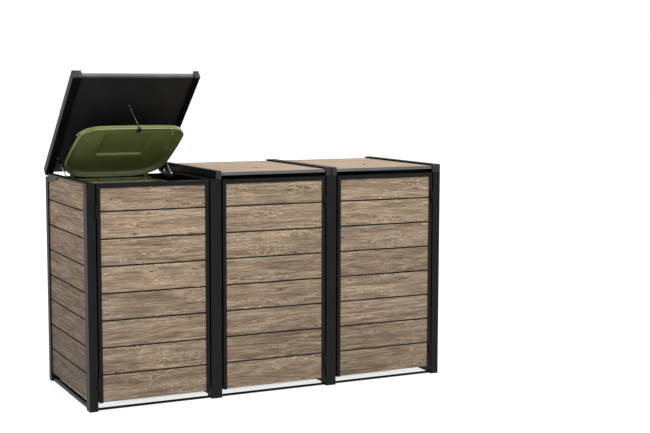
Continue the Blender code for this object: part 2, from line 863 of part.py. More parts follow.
def make_wheels(root):
    """Two turned wheels on one axle."""
    hub, web, rim = 0.022, 0.010, 0.078
    bore = AXLE_RADIUS + LEAST_GAP
    outline = [
        (WHEEL_RADIUS, 0.016),
        (WHEEL_RADIUS, -0.016),
        (WHEEL_RADIUS - 0.007, -WHEEL_HALF),
        (rim, -WHEEL_HALF),
        (rim - 0.004, -web),
        (hub + 0.004, -web),
        (hub, -WHEEL_HALF),
        (bore, -WHEEL_HALF),
        (bore, WHEEL_HALF),
        (hub, WHEEL_HALF),
        (hub + 0.004, web),
        (rim - 0.004, web),
        (rim, WHEEL_HALF),
        (WHEEL_RADIUS - 0.007, WHEEL_HALF),
    ]
    for hand, side in (("left", -1), ("right", 1)):
        centre = AXLE + Vector((BIN_X + side * WHEEL_AT, 0, 0))
        axis = empty(f"wheel_{hand}_axis", root, centre)
        mesh = bpy.data.meshes.new(f"bin_wheel_{hand}")
        count = len(outline)
        edges = [(index, (index + 1) % count) for index in range(count)]
        mesh.from_pydata([(r, 0, z) for r, z in outline], edges, [])
        wheel = place(mesh, f"bin_wheel_{hand}", centre, axis, WHEEL_RUBBER)
        wheel.rotation_euler.y = math.pi / 2
        turn = wheel.modifiers.new("turn", "SCREW")
        turn.steps = 32
        turn.render_steps = 32
        turn.use_merge_vertices = True
        turn.merge_threshold = 0.0001
    reach = WHEEL_AT + WHEEL_HALF - 0.001
    ends = [AXLE + Vector((BIN_X + side * reach, 0, 0)) for side in (-1, 1)]
    rod("bin_axle", *ends, AXLE_RADIUS, root, STEEL)


def make_link(root):
    """The wire that joins the left lid's eye to the bin's lid, with a ferrule near its top."""
    offset = Vector((0, -LINK_ALONG_LID, LID_PANEL_BOTTOM - LINK_BELOW - LID_PIVOT.z))
    side = Vector((LINK_X, 0, 0))
    top = LID_PIVOT + turned(offset, LID_OPEN) + side
    end = BIN_LID_PIVOT + turned(BIN_LID_LINK_AT, BIN_LID_OPEN) + side
    end.x += LINK_ASIDE
    axis = empty("link_axis", root, top)
    along = (end - top).normalized()
    wire = rod("lid_link", top, end, LINK_RADIUS, axis, LINK_STEEL, 12)
    ferrule = rod("lid_link_ferrule", top + along * 0.014, top + along * 0.038, 0.004, axis, sides=14)
    join(wire, ball("lid_link_top", top, 0.0038, axis), ferrule)
    join(wire, ball("lid_link_hook", end, 0.0042, axis))


def make_store():
    root = empty("store_corner", None, CENTRE)
    root["pivot"] = (0.0, 0.0, 0.0)
    make_posts(root)
    make_bars(root)
    make_top_rails(root)
    make_walls(root)
    for bay in range(3):
        make_door(bay, root)
        make_lid(bay, LID_OPEN if bay == 0 else 0.0, root)
    make_bin_body(root)
    make_bin_lid(root)
    make_wheels(root)
    make_link(root)


make_store()
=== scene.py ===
"""The looks of a triple wheelie-bin store with one green bin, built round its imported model.

Lengths are metres. Pieces of the open lid, the bin's lid and their struts are laid out
with everything shut, and then turned to where their hinges rest.
"""

import json
import math
import random

import bmesh
import bpy
from mathutils import Matrix, Vector


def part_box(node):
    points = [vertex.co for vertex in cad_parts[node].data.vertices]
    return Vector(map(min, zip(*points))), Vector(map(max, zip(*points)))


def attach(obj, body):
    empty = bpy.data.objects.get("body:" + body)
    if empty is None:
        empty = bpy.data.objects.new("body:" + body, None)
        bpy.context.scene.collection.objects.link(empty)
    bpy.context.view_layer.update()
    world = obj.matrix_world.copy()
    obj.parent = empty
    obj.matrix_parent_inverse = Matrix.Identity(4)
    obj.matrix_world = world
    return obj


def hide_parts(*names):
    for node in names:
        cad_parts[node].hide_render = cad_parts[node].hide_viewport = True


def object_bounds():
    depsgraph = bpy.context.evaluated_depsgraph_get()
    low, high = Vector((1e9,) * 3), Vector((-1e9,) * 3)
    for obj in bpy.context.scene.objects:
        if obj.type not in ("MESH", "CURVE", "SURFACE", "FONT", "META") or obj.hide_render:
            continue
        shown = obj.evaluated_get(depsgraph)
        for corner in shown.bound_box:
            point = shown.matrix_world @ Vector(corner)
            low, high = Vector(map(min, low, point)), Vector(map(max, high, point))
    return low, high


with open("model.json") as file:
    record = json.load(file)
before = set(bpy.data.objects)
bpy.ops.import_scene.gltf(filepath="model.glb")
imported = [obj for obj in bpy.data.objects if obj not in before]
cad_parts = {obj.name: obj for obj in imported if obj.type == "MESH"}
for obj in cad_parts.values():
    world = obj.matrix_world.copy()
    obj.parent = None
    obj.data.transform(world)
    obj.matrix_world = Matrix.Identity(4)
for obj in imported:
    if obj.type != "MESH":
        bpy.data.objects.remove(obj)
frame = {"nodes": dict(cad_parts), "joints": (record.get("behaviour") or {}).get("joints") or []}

CAD_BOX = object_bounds()
JOINTS = {joint["name"]: joint for joint in frame["joints"]}
LINK_BALL = 0.0042
X, Y, Z = Vector((1, 0, 0)), Vector((0, 1, 0)), Vector((0, 0, 1))
BAYS = (1, 2, 3)
HANDS = (("left", -1), ("right", 1))

# Boards.
BOARD_PITCH = 0.1386
SEAM = 0.0078
LID_SEAM = 0.0016
EASE = 0.0008
NOTCH_GAP = 0.0005
GROWTH_RINGS = 17.0

# Lids, with the lid shut.
LID_GAP = 0.0005
CAP_DEPTH = 0.012
CAP_PROUD = 0.0045
CAP_HOLD = 0.003
STRIP_BACK = 0.012
STRIP_DEPTH = 0.014
STRIP_HEIGHT = 0.0165
STUD_RADIUS = 0.004
BOLT_HEAD = 0.0095
LATCH_IN = 0.033

# Bin. Half widths, then the nearest and farthest edges forward of the lid's hinge.
BIN_FOOT = (0.2225, 0.142, 0.527)
BIN_HEAD = (0.267, 0.046, 0.575)
BIN_FOOT_Z = 0.001
RIM_BELOW_HINGE = 0.0015
BIN_WALL = 0.005
HANDLE_REACH = 0.196
KNUCKLE = 0.0118
AXLE = 0.0099
RIBS = (-0.19, -0.0665, 0.0665, 0.19)
LID_EDGE = 0.0075
LID_HALF = 0.287
LID_NEAR = 0.0238
LID_FAR = 0.5951
LID_CORNERS = (0.104, 0.165)
LID_BOW = 0.0035
LID_WALL = 0.003
LID_RISE = 0.01
LID_SKIRT = 0.0262
CROWN = (0.135, 0.23, 0.496)

# Camera, from the model's origin.
CAMERA_AT = (-2.766, -6.587, 1.669)
CAMERA_YAW = math.radians(26.41)
CAMERA_PITCH = math.radians(6.055)
CAMERA_ROLL = math.radians(0.15)
CAMERA_LENS = 70.61
FLOOR_GLOW = 0.8
KEY_STRENGTH = 1.6


# Node materials.


def add(tree, kind, inputs=None, **settings):
    """A new node. Each input is a number, a colour, a vector or another node's output."""
    node = tree.nodes.new(kind)
    for name, value in settings.items():
        setattr(node, name, value)
    for name, value in (inputs or {}).items():
        socket = node.inputs[name]
        if isinstance(value, bpy.types.NodeSocket):
            tree.links.new(value, socket)
        else:
            socket.default_value = value
    return node


def new_material(name):
    made = bpy.data.materials.new(name)
    made.use_nodes = True
    tree = made.node_tree
    return made, tree, tree.nodes["Principled BSDF"]


def place_of(tree, stretch=(1, 1, 1), grain=False):
    """Where a point lies on the object, or along and across its board, stretched."""
    if grain:
        source = add(tree, "ShaderNodeAttribute", attribute_name="grain").outputs["Vector"]
    else:
        source = add(tree, "ShaderNodeTexCoord").outputs["Object"]
    mapped = add(tree, "ShaderNodeMapping", {"Vector": source, "Scale": stretch})
    return mapped.outputs["Vector"]


def noise(tree, vector, scale=1.0, detail=2.0, roughness=0.5, distortion=0.0):
    node = add(
        tree,
        "ShaderNodeTexNoise",
        {
            "Vector": vector,
            "Scale": scale,
            "Detail": detail,
            "Roughness": roughness,
            "Distortion": distortion,
        },
    )
    return node.outputs["Fac"]


def ramp(tree, factor, stops):
    """A colour ramp through (place, colour) stops."""
    node = add(tree, "ShaderNodeValToRGB", {"Fac": factor})
    elements = node.color_ramp.elements
    while len(elements) < len(stops):
        elements.new(0.5)
    for element, (place, colour) in zip(elements, stops):
        element.position = place
        element.color = (*colour, 1.0) if len(colour) == 3 else colour
    return node.outputs["Color"]


def spread(tree, factor, low, high, to_low=0.0, to_high=1.0):
    """A factor from low to high taken to another range, smoothly."""
    node = add(
        tree,
        "ShaderNodeMapRange",
        {"Value": factor, "From Min": low, "From Max": high, "To Min": to_low, "To Max": to_high},
        interpolation_type="SMOOTHSTEP",
    )
    return node.outputs["Result"]


def calculate(tree, operation, first, second=0.0):
    node = add(tree, "ShaderNodeMath", operation=operation)
    for socket, value in zip(node.inputs, (first, second)):
        if isinstance(value, bpy.types.NodeSocket):
            tree.links.new(value, socket)
        else:
            socket.default_value = value
    return node.outputs["Value"]


def mix(tree, blend, factor, first, second):
    """Two colours mixed or multiplied by a factor."""
    node = add(tree, "ShaderNodeMix", data_type="RGBA", blend_type=blend)
    for socket, value in zip((node.inputs[0], node.inputs[6], node.inputs[7]), (factor, first, second)):
        if isinstance(value, bpy.types.NodeSocket):
            tree.links.new(value, socket)
        elif isinstance(value, tuple):
            socket.default_value = (*value, 1.0)
        else:
            socket.default_value = value
    return node.outputs[2]


def bump(tree, shader, height, strength, distance):
    node = add(
        tree,
        "ShaderNodeBump",
        {"Height": height, "Strength": strength, "Distance": distance},
    )
    tree.links.new(node.outputs["Normal"], shader.inputs["Normal"])


def centred(tree, factor, amount):
    """A factor's difference from one half, times an amount."""
    return calculate(tree, "MULTIPLY", calculate(tree, "SUBTRACT", factor, 0.5), amount)


def wood(name, dark, middle, light, contrast=1.0, ground_shade=1.0):
    """Brushed weathered oak: fine fibres, arched rings, pale curled flecks and a few knots.

    Painted shade darkens the boards toward the ground, to the factor of the last argument at floor level.
    """
    made, tree, shader = new_material(name)
    knots = add(
        tree,
        "ShaderNodeTexVoronoi",
        {"Vector": place_of(tree, (2.6, 8.0, 1.0), True), "Scale": 1.0, "Randomness": 1.0},
        voronoi_dimensions="2D",
    ).outputs["Distance"]
    rings = noise(tree, place_of(tree, (1.1, 11.0, 6.0), True), 1.0, 1.5, 0.45, 0.35)
    knot = spread(tree, knots, 0.0, 0.22, 1.4, 0.0)
    ring = calculate(tree, "ADD", calculate(tree, "MULTIPLY", rings, GROWTH_RINGS), knot)
    ring = calculate(tree, "PINGPONG", ring, 1.0)
    streaks = noise(tree, place_of(tree, (7.0, 210.0, 90.0), True), 1.0, 2.0, 0.55, 0.1)
    fibres = noise(tree, place_of(tree, (26.0, 300.0, 200.0), True), 1.0, 2.0, 0.6)
    broad = noise(tree, place_of(tree, (1.6, 24.0, 9.0), True), 1.0, 2.0, 0.5, 0.2)
    tone = centred(tree, streaks, 1.6 * contrast)
    tone = calculate(tree, "ADD", tone, centred(tree, fibres, 1.2 * contrast))
    tone = calculate(tree, "ADD", tone, centred(tree, broad, 0.85 * contrast))
    tone = calculate(tree, "ADD", tone, centred(tree, ring, 0.26 * contrast))
    colour = ramp(tree, calculate(tree, "ADD", tone, 0.5), [(0.0, dark), (0.5, middle), (1.0, light)])
    curl = noise(tree, place_of(tree, (24.0, 84.0, 60.0), True), 1.0, 1.0, 0.5, 0.7)
    curl = calculate(tree, "ABSOLUTE", calculate(tree, "SUBTRACT", curl, 0.5))
    clusters = noise(tree, place_of(tree, (3.4, 21.0, 9.0), True), 1.0, 2.0)
    curl = calculate(
        tree, "MULTIPLY", spread(tree, curl, 0.01, 0.045, 0.7, 0.0), spread(tree, clusters, 0.51, 0.61)
    )
    colour = mix(tree, "MIX", curl, colour, tuple(min(1.0, c * 1.3) for c in light))
    heart = spread(tree, knots, 0.012, 0.038, 0.85, 0.0)
    colour = mix(tree, "MIX", heart, colour, tuple(c * 0.45 for c in dark))
    tint = add(tree, "ShaderNodeAttribute", attribute_name="tint").outputs["Fac"]
    shade = ramp(tree, tint, [(0.0, (0.9, 0.89, 0.875)), (0.5, (1.0, 1.0, 1.0)), (1.0, (1.07, 1.065, 1.06))])
    colour = mix(tree, "MULTIPLY", 1.0, colour, shade)
    # Painted shade: the colour darkens toward the ground, by the last argument's factor at floor level.
    height = add(tree, "ShaderNodeSeparateXYZ", {"Vector": place_of(tree)}).outputs["Z"]
    ground_shade_fade = spread(tree, height, 0.0, 1.1)
    ground_shade_tint = ramp(tree, ground_shade_fade, [(0.0, (ground_shade,) * 3), (1.0, (1.0, 1.0, 1.0))])
    colour = mix(tree, "MULTIPLY", 1.0, colour, ground_shade_tint)
    tree.links.new(colour, shader.inputs["Base Color"])
    shader.inputs["Specular IOR Level"].default_value = 0.22
    tree.links.new(spread(tree, streaks, 0.3, 0.7, 0.76, 0.6), shader.inputs["Roughness"])
    bump(tree, shader, calculate(tree, "ADD", calculate(tree, "MULTIPLY", fibres, 0.5), streaks), 0.4, 0.0004)
    return made


def coat(name, colour, roughness, specular, spots=900.0, bumps=0.25, tone=0.25, metallic=0.0):
    """Powder coat, enamel or moulded plastic: a fine pebbled skin with slow changes of gloss."""
    made, tree, shader = new_material(name)
    skin = noise(tree, place_of(tree), spots, 2.0, 0.55)
    slow = noise(tree, place_of(tree), 7.0, 3.0, 0.5)
    low = tuple(c * (1 - tone) for c in colour)
    high = tuple(c * (1 + tone) for c in colour)
    tree.links.new(ramp(tree, slow, [(0.3, low), (0.7, high)]), shader.inputs["Base Color"])
    tree.links.new(
        spread(tree, skin, 0.3, 0.7, roughness - 0.05, roughness + 0.06), shader.inputs["Roughness"]
    )
    shader.inputs["Specular IOR Level"].default_value = specular
    shader.inputs["Metallic"].default_value = metallic
    bump(tree, shader, skin, bumps, 0.0004)
    return made


def metal(name, colour, roughness, stretch=(40.0, 40.0, 1400.0)):
    """Drawn or ground metal, with fine marks along one direction."""
    made, tree, shader = new_material(name)
    marks = noise(tree, place_of(tree, stretch), 1.0, 3.0, 0.6)
    worn = noise(tree, place_of(tree), 45.0, 2.0)
    low = tuple(c * 0.86 for c in colour)
    tree.links.new(ramp(tree, worn, [(0.35, low), (0.65, colour)]), shader.inputs["Base Color"])
    tree.links.new(
        spread(tree, marks, 0.3, 0.7, roughness * 0.75, roughness * 1.3), shader.inputs["Roughness"]
    )
    shader.inputs["Metallic"].default_value = 1.0
    bump(tree, shader, marks, 0.12, 0.0002)
    return made


# Lit and shaded copies of one oak: the walls' copy is darker, painted side shade, and the lids' copy is
# lighter, painted top light. The last number given to the walls and doors sets their painted shade toward the
# ground.
OAK_SHADED_WALLS = wood("oak_painted_wall_shade", (0.078, 0.047, 0.027), (0.172, 0.113, 0.068), (0.315, 0.225, 0.142), 1.0, 0.5)
DOOR_OAK = wood("door_oak", (0.098, 0.067, 0.042), (0.222, 0.16, 0.107), (0.4, 0.305, 0.214), 1.0, 0.8)
OAK_LIT_LIDS = wood("lid_oak", (0.21, 0.145, 0.09), (0.345, 0.25, 0.165), (0.49, 0.375, 0.262), 0.6)
BACKING = coat("board_backing", (0.01, 0.0107, 0.0112), 0.55, 0.16, 500.0, 0.2)
BLACK = coat("black_powder_coat", (0.0042, 0.0044, 0.0047), 0.48, 0.142)
# Near-black painted shade, put where only shade would be seen: rail undersides and inner faces, and the latch
# slots.
SHADE_BLACK = coat("painted_shade_black", (0.0016, 0.0016, 0.0017), 0.85, 0.06, 600.0, 0.3)
GREY_TRIM = coat("grey_trim", (0.085, 0.092, 0.1), 0.38, 0.45, 900.0, 0.15)
CAP_PLASTIC = coat("cap_plastic", (0.016, 0.0165, 0.017), 0.44, 0.28, 1200.0, 0.2)
GREEN = coat("green_plastic", (0.185, 0.212, 0.066), 0.24, 0.8, 650.0, 0.1, 0.05)
RUBBER = coat("wheel_rubber", (0.012, 0.012, 0.012), 0.75, 0.3, 400.0, 0.5)
HUB_PLASTIC = coat("hub_plastic", (0.02, 0.02, 0.021), 0.5, 0.4, 700.0, 0.3)
ENAMEL = coat("strut_enamel", (0.006, 0.006, 0.0065), 0.22, 0.5, 300.0, 0.05)
CHROME = metal("chromed_rod", (0.8, 0.81, 0.82), 0.1)
ZINC = metal("zinc_plate", (0.5, 0.5, 0.49), 0.34)


# Shapes, each added to a mesh under construction.


def block(shape, low, high, ease=0.001, look=0):
    """A box with rounded edges."""
    low, high = Vector(low), Vector(high)
    made = bmesh.ops.create_cube(shape, size=1.0)["verts"]
    bmesh.ops.scale(shape, vec=high - low, verts=made)
    bmesh.ops.translate(shape, vec=(low + high) / 2, verts=made)
    edges = {edge for vert in made for edge in vert.link_edges}
    faces = {face for vert in made for face in vert.link_faces}
    if ease:
        made = bmesh.ops.bevel(
            shape, geom=list(edges), offset=ease, segments=3, profile=0.5, affect="EDGES", clamp_overlap=True
        )
        faces = {f for f in faces if f.is_valid} | set(made["faces"])
    for face in faces:
        face.material_index = look


def skin(shape, rings, caps=True, closed=False, look=0):
    """A surface through rings of equal length."""
    laid = [[shape.verts.new(point) for point in ring] for ring in rings]
    pairs = list(zip(laid, laid[1:]))
    if closed:
        pairs.append((laid[-1], laid[0]))
    for lower, upper in pairs:
        for index, vert in enumerate(lower):
            after = (index + 1) % len(lower)
            shape.faces.new((vert, lower[after], upper[after], upper[index])).material_index = look
    if caps and not closed:
        shape.faces.new(list(reversed(laid[0]))).material_index = look
        shape.faces.new(laid[-1]).material_index = look
    return laid


def on_axis(pivot, x):
    """The point at this x on the axis of a hinge."""
    return Vector((x, pivot.y, pivot.z))


def across_from(axis):
    """Two directions square to an axis and to each other."""
    side = axis.orthogonal().normalized()
    return side, axis.cross(side).normalized()


def turn(shape, profile, at, axis, steps=28, closed=False, look=0):
    """A turned solid: profile holds (radius, distance along the axis)."""
    side, other = across_from(axis)
    rings = []
    for radius, distance in profile:
        ring = []
        for step in range(steps):
            angle = 2 * math.pi * step / steps
            ring.append(at + axis * distance + (side * math.cos(angle) + other * math.sin(angle)) * radius)
        rings.append(ring)
    skin(shape, rings, caps=True, closed=closed, look=look)


def pin(shape, start, end, radius, ease=0.0006, steps=24, look=0):
    """A cylinder between two points, with eased ends."""
    axis = (end - start).normalized()
    length = (end - start).length
    profile = [(radius - ease, 0), (radius, ease), (radius, length - ease), (radius - ease, length)]
    turn(shape, profile, start, axis, steps, look=look)


def sweep(shape, path, radius, sides=12, look=0):
    """A round bar along a path of points."""
    along = [(b - a).normalized() for a, b in zip(path, path[1:])]
    side = along[0].orthogonal().normalized()
    rings = []
    for index, point in enumerate(path):
        before, after = along[max(index - 1, 0)], along[min(index, len(along) - 1)]
        axis = (before + after).normalized()
        side = (side - axis * side.dot(axis)).normalized()
        other = axis.cross(side)
        rings.append(
            [
                point + (side * math.cos(angle) + other * math.sin(angle)) * radius
                for angle in (2 * math.pi * k / sides for k in range(sides))
            ]
        )
    skin(shape, rings, look=look)


def prism(shape, outline, at, across, out, along, look=0):
    """An outline of (across, out) points carried along a vector."""
    start = [at + across * a + out * b for a, b in outline]
    skin(shape, [start, [point + along for point in start]], look=look)


def arc(centre, radius, start, end, steps):
    """Points on a circle's arc, angles in degrees."""
    points = []
    for step in range(steps + 1):
        angle = math.radians(start + (end - start) * step / steps)
        points.append((centre[0] + radius * math.cos(angle), centre[1] + radius * math.sin(angle)))
    return points


def rounded(low, high, radius, steps=4):
    """A rectangle with round corners, as (across, out) points."""
    (a, b), (c, d) = low, high
    corners = (((c - radius, b + radius), -90), ((c - radius, d - radius), 0))
    corners += (((a + radius, d - radius), 90), ((a + radius, b + radius), 180))
    points = []
    for centre, start in corners:
        points += arc(centre, radius, start, start + 90, steps)
    return points


def finished(shape, name, looks, body, stands_for=(), matrix=None, angle=35.0):
    """The mesh as a piece that rides on a body."""
    bmesh.ops.recalc_face_normals(shape, faces=shape.faces)
    mesh = bpy.data.meshes.new(name)
    shape.to_mesh(mesh)
    shape.free()
    if matrix:
        mesh.transform(matrix)
    mesh.shade_smooth()
    mesh.set_sharp_from_angle(angle=math.radians(angle))
    for look in looks:
        mesh.materials.append(look)
    made = bpy.data.objects.new(name, mesh)
    bpy.context.scene.collection.objects.link(made)
    if stands_for:
        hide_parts(*stands_for)
    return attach(made, body)


def opened(hinge):
    """Takes points from the shut store to where this hinge rests."""
    joint = JOINTS[hinge]
    pivot = Matrix.Translation(joint["pos_m"])
    turned = Matrix.Rotation(-math.radians(joint["range_deg"][0]), 4, Vector(joint["axis"]))
    return pivot @ turned @ pivot.inverted()


# Boards.


def board_section(low, high, thick, seam, tongue, groove):
    """Across from low to high and out from 0 to thick, with a tongue above and a groove below."""
    low += seam / 2 if groove else 0.0
    high -= seam / 2 if tongue else 0.0
    middle, half = thick * 0.42, thick * 0.15
    back = 0.0008
    points = [(low + back, 0), (high - back, 0), (high, back)]
    if tongue:
        tip = high + seam + 0.003
        points += [(high, middle - half), (tip, middle - half + 0.0004)]
        points += [(tip, middle + half - 0.0004), (high, middle + half)]
    points += arc((high - EASE, thick - EASE), EASE, 0, 90, 3)
    points += arc((low + EASE, thick - EASE), EASE, 90, 180, 3)
    if groove:
        end, room = low + 0.005, half + 0.0004
        points += [(low, middle + room), (end, middle + room), (end, middle - room), (low, middle - room)]
    points.append((low, back))
    return points


def set_grain(made, at, along, across, out, chance):
    """Stores where each vertex lies in its board's timber, and the board's tint."""
    mesh = made.data
    shift = Vector((chance.uniform(0, 60), chance.uniform(0, 60), chance.uniform(0, 60)))
    places = [vert.co - at for vert in mesh.vertices]
    grain = mesh.attributes.new("grain", "FLOAT_VECTOR", "POINT")
    for item, place in zip(grain.data, places):
        item.vector = Vector((place.dot(along), place.dot(across), place.dot(out))) + shift
    tint = mesh.attributes.new("tint", "FLOAT", "POINT")
    tint.data.foreach_set("value", [chance.uniform(0, 1)] * len(places))


def boards(name, low, high, across, out, along, edges, seam, oak, body, node, matrix=None, notch=None):
    """Tongue-and-groove boards side by side between low and high, edges giving their bounds."""
    thick = abs((high - low).dot(out))
    length = abs((high - low).dot(along))
    base = Vector(low if out.dot(Vector((1, 1, 1))) > 0 else low - out * thick)
    chance = random.Random(name)
    for index, (start, end) in enumerate(zip(edges, edges[1:])):
        shape = bmesh.new()
        section = board_section(start, end, thick, seam, index + 2 < len(edges), index > 0)
        prism(shape, section, base, across, out, along * length)
        made = finished(
            shape, f"{name}_board_{index + 1}", (oak, BACKING), body, (node,) if index == 0 else ()
        )
        if notch and index == len(edges) - 2:
            carve(made, notch)
        for face in made.data.polygons:
            outermost = (face.center - base).dot(out) > thick - 2 * EASE
            face.material_index = 0 if outermost and face.normal.dot(out) > 0.25 else 1
        set_grain(made, base, along, across, out, chance)
        if matrix:
            made.data.transform(matrix)


def carve(made, side):
    """Cuts away what lies inside an outline of (depth, height) points, right across a piece."""
    shape = bmesh.new()
    margin = 0.01
    left = min(vert.co.x for vert in made.data.vertices) - margin
    right = max(vert.co.x for vert in made.data.vertices) + margin
    prism(shape, side, Vector((left, 0, 0)), Y, Z, X * (right - left))
    bmesh.ops.recalc_face_normals(shape, faces=shape.faces)
    mesh = bpy.data.meshes.new("cutter")
    shape.to_mesh(mesh)
    shape.free()
    cutter = bpy.data.objects.new("cutter", mesh)
    bpy.context.scene.collection.objects.link(cutter)
    change = made.modifiers.new("cut", "BOOLEAN")
    change.operation = "DIFFERENCE"
    change.object = cutter
    graph = bpy.context.evaluated_depsgraph_get()
    result = bpy.data.meshes.new_from_object(made.evaluated_get(graph))
    made.modifiers.remove(change)
    old = made.data
    made.data = result
    bpy.data.meshes.remove(old)
    bpy.data.objects.remove(cutter)


def make_boards():
    """Every panel of the walls, doors and lids, board by board."""
    for bay in BAYS:
        low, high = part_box(f"door_panel_{bay}")
        edges = board_edges(low.z, high.z)
        boards(
            f"door_{bay}", low, high, Z, -Y, X, edges, SEAM, DOOR_OAK,
            f"door_{bay}", f"door_panel_{bay}",
        )
        low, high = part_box(f"rear_panel_{bay}")
        boards(
            f"rear_{bay}", low, high, Z, Y, X, board_edges(low.z, high.z), SEAM, OAK_SHADED_WALLS,
            "frame", f"rear_panel_{bay}",
        )
    for hand, outward in HANDS:
        low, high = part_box(f"side_panel_{hand}")
        front, front_z, rear_z = strut_block(hand)
        front, front_z, rear_z = front - NOTCH_GAP, front_z - NOTCH_GAP, rear_z - NOTCH_GAP
        behind, above = high.y + 0.01, high.z + 0.01
        slope = (rear_z - front_z) / (high.y - front)
        notch = [(front, front_z), (behind, front_z + slope * (behind - front))]
        notch += [(behind, above), (front, above)]
        boards(
            f"side_{hand}", low, high, Z, X * outward, Y, board_edges(low.z, high.z), SEAM, OAK_SHADED_WALLS, "frame",
            f"side_panel_{hand}", notch=notch,
        )
    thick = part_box("rear_panel_1")[1].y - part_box("rear_panel_1")[0].y
    shut_low, shut_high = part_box("lid_panel_2")
    for bay in BAYS:
        low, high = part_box(f"lid_panel_{bay}")
        low = Vector((low.x, shut_low.y, shut_high.z - thick))
        high = Vector((high.x, shut_high.y, shut_high.z))
        edges = [(high.y - low.y) * part / 3 for part in range(4)]
        boards(
            f"lid_{bay}", low, high, Y, Z, X, edges, LID_SEAM, OAK_LIT_LIDS, f"lid_{bay}",
            f"lid_panel_{bay}", matrix=opened(f"lid_{bay}_hinge"),
        )


def board_edges(low, high):
    """Heights of a wall's board edges above its foot."""
    count = int((high - low) / BOARD_PITCH + 0.5)
    return [BOARD_PITCH * k for k in range(count)] + [high - low]


def strut_block(hand):
    """The front of the strut block under a top rail, and its lowest points at front and rear."""
    points = [vert.co for vert in frame["nodes"][f"top_rail_{hand}"].data.vertices]
    rail_foot = min(point.z for point in points if point.y < min(p.y for p in points) + 0.001)
    block = [point for point in points if point.z < rail_foot - 0.001]
    front, rear = min(point.y for point in block), max(point.y for point in block)
    return (
        front,
        min(point.z for point in block if point.y < front + 0.001),
        min(point.z for point in block if point.y > rear - 0.001),
    )


# Metalwork of the store.


def dress_cad_nodes():
    """Bevelled edges and powder coat on every node of the frame that stays as it is."""
    kept = ("front_post", "rear_post", "base_bar", "top_rail", "door_frame", "door_hinge")
    for name, node in frame["nodes"].items():
        if not name.startswith(kept):
            continue
        for slot in node.material_slots:
            slot.link = "OBJECT"
            slot.material = BLACK
        weld = node.modifiers.new("weld", "WELD")
        weld.merge_threshold = 0.00002
        bevel = node.modifiers.new("bevel", "BEVEL")
        bevel.width = 0.0005 if name.startswith("door_hinge") else 0.0011
        bevel.segments = 2
        bevel.limit_method = "ANGLE"
        bevel.angle_limit = math.radians(50)
        bevel.harden_normals = False


def lid_extent(bay):
    """The shut lid's rails as (left, right) X pairs, and its lowest and highest corners."""
    low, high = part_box(f"lid_frame_{bay}")
    panel_low, panel_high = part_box(f"lid_panel_{bay}")
    shut_low, shut_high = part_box("lid_frame_2")
    rails = ((low.x, panel_low.x - LID_GAP), (panel_high.x + LID_GAP, high.x))
    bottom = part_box("front_post_left")[1].z + LID_GAP
    return rails, Vector((low.x, shut_low.y, bottom)), Vector((high.x, shut_high.y, shut_high.z))


def make_lid_frame(bay):
    """Two capped rails, the grey front strip, the rear strip, hinges and strut studs."""
    rails, low, high = lid_extent(bay)
    body, turned = f"lid_{bay}", opened(f"lid_{bay}_hinge")
    boards_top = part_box("lid_panel_2")[1].z
    pivot = Vector(JOINTS[f"lid_{bay}_hinge"]["pos_m"])
    for (hand, outward), (left, right) in zip(HANDS, rails):
        shape = bmesh.new()
        section = rounded((left, low.z), (right, high.z), 0.0016)
        origin = Vector((0, low.y + CAP_DEPTH - CAP_HOLD, 0))
        prism(shape, section, origin, X, Z, Y * (high.y - low.y - 2 * CAP_DEPTH + 2 * CAP_HOLD))
        shape.normal_update()
        bmesh.ops.recalc_face_normals(shape, faces=shape.faces)
        for face in shape.faces:
            # Faces looking down or inward get near-black painted shade.
            face.material_index = int(face.normal.z < -0.7 or face.normal.x * outward < -0.7)
        finished(
            shape, f"lid_{bay}_rail_{hand}", (BLACK, SHADE_BLACK), body,
            (f"lid_frame_{bay}",), turned,
        )
        for end, start in (("front", low.y), ("rear", high.y - CAP_DEPTH)):
            shape = bmesh.new()
            inner = CAP_PROUD if end == "front" else 0.0
            cap_left = left if outward < 0 else left - inner
            cap_right = right + inner if outward < 0 else right
            block(shape, (cap_left, start, low.z), (cap_right, start + CAP_DEPTH, high.z), 0.0016)
            finished(
                shape, f"lid_{bay}_cap_{end}_{hand}", (CAP_PLASTIC,), body,
                matrix=turned,
            )
        make_lid_hinge(bay, hand, (left, right), pivot, low.z, turned)
        make_lid_stud(bay, hand, outward, (left, right), turned)
    inner_left, inner_right = rails[0][1], rails[1][0]
    for end, start, look in (
        ("front", low.y + STRIP_BACK - 0.001, GREY_TRIM),
        ("rear", high.y - 0.003 - STRIP_DEPTH, BLACK),
    ):
        shape = bmesh.new()
        section = rounded(
            (start, boards_top - STRIP_HEIGHT), (start + STRIP_DEPTH + 0.001, boards_top + 0.0005), 0.0014
        )
        ends = CAP_PROUD - 0.0003 if end == "front" else 0.0003
        run = inner_right - inner_left - 2 * ends if end == "front" else inner_right - inner_left - 0.0006
        prism(shape, section, Vector((inner_left + ends, 0, 0)), Y, Z, X * run)
        finished(shape, f"lid_{bay}_strip_{end}", (look,), body, matrix=turned)
    make_link_eye(bay, turned)


